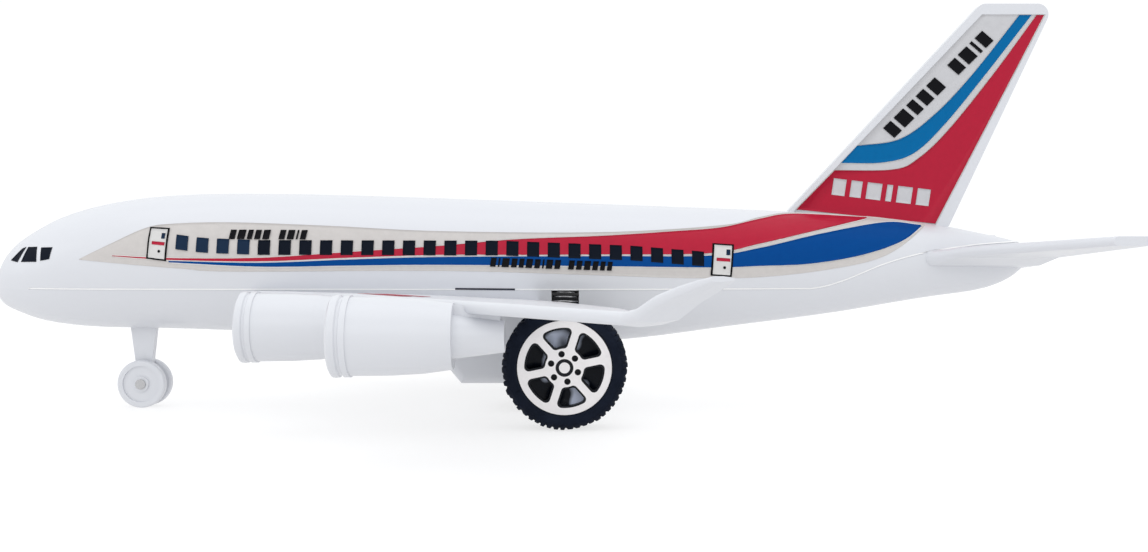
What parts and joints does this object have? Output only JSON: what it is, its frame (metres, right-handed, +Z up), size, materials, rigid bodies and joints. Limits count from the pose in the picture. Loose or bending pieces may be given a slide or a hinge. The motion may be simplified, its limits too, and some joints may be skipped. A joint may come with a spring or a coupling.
{
  "type": "toy airplane",
  "caption": "Friction-drive toy airliner: hollow white fuselage in two shells, swept wings with engines, tail fin and tailplane, geared flywheel motor, spoked main wheels and a nose gear.",
  "frame": {"origin": "on the ground plane under the middle of the model's bounding box", "axes": "+X forward through the nose, +Y to the left wing, +Z up"},
  "size_m": [0.3174, 0.304, 0.12],
  "materials": {
    "white_plastic": "glossy injection-moulded white polystyrene, slightly cool",
    "black_plastic": "glossy black moulded case",
    "gear_plastic": "natural nylon gears",
    "steel": "plain drawn steel",
    "flywheel_metal": "turned iron with an oil film",
    "silver_plastic": "silver-sprayed moulded rim",
    "tyre_rubber": "soft black moulded tyre"
  },
  "bodies": {
    "root": {"upper_shell": "white_plastic", "lower_shell": "white_plastic", "wing_left": "white_plastic", "wing_right": "white_plastic", "tail_fin": "white_plastic", "tailplane_left": "white_plastic", "tailplane_right": "white_plastic", "nacelle_inner_left": "white_plastic", "nacelle_inner_right": "white_plastic", "nacelle_outer_left": "white_plastic", "nacelle_outer_right": "white_plastic", "intake_ring_inner_left": "white_plastic", "intake_ring_inner_right": "white_plastic", "intake_ring_outer_left": "white_plastic", "intake_ring_outer_right": "white_plastic", "nose_leg": "white_plastic", "shell_screws": "steel", "motor_case_left": "black_plastic", "motor_case_right": "black_plastic", "motor_screws": "steel", "gear_pins": "steel"},
    "main_axle": {"main_axle_shaft": "steel", "axle_gear": "gear_plastic", "wheel_rim_left": "silver_plastic", "wheel_rim_right": "silver_plastic", "tyre_left": "tyre_rubber", "tyre_right": "tyre_rubber"},
    "first_idler": {"first_idler_gear": "gear_plastic"},
    "second_idler": {"second_idler_gear": "gear_plastic"},
    "flywheel_group": {"flywheel": "flywheel_metal", "flywheel_arbor": "steel", "flywheel_pinion": "gear_plastic"},
    "nose_wheels": {"nose_axle_pin": "steel", "nose_wheel_left": "white_plastic", "nose_wheel_right": "white_plastic"}
  },
  "joints": [
    {"name": "main_axle_turn", "type": "hinge", "parent": "root", "child": "main_axle", "pos_m": [-0.01, 0, 0.0167], "axis": [0, 1, 0], "continuous": true},
    {"name": "first_idler_turn", "type": "hinge", "parent": "root", "child": "first_idler", "pos_m": [-0.0055, 0, 0.02449], "axis": [0, 1, 0], "continuous": true},
    {"name": "second_idler_turn", "type": "hinge", "parent": "root", "child": "second_idler", "pos_m": [0.00269, 0, 0.03023], "axis": [0, 1, 0], "continuous": true},
    {"name": "flywheel_turn", "type": "hinge", "parent": "root", "child": "flywheel_group", "pos_m": [0.01254, 0, 0.02849], "axis": [0, 1, 0], "continuous": true},
    {"name": "nose_wheels_turn", "type": "hinge", "parent": "root", "child": "nose_wheels", "pos_m": [0.1165, 0, 0.0071], "axis": [0, 1, 0], "continuous": true}
  ],
  "couplings": [
    {"joint": "main_axle_turn", "follows": "flywheel_turn", "ratio": -0.091837},
    {"joint": "first_idler_turn", "follows": "flywheel_turn", "ratio": 0.18367},
    {"joint": "second_idler_turn", "follows": "flywheel_turn", "ratio": -0.42857}
  ]
}
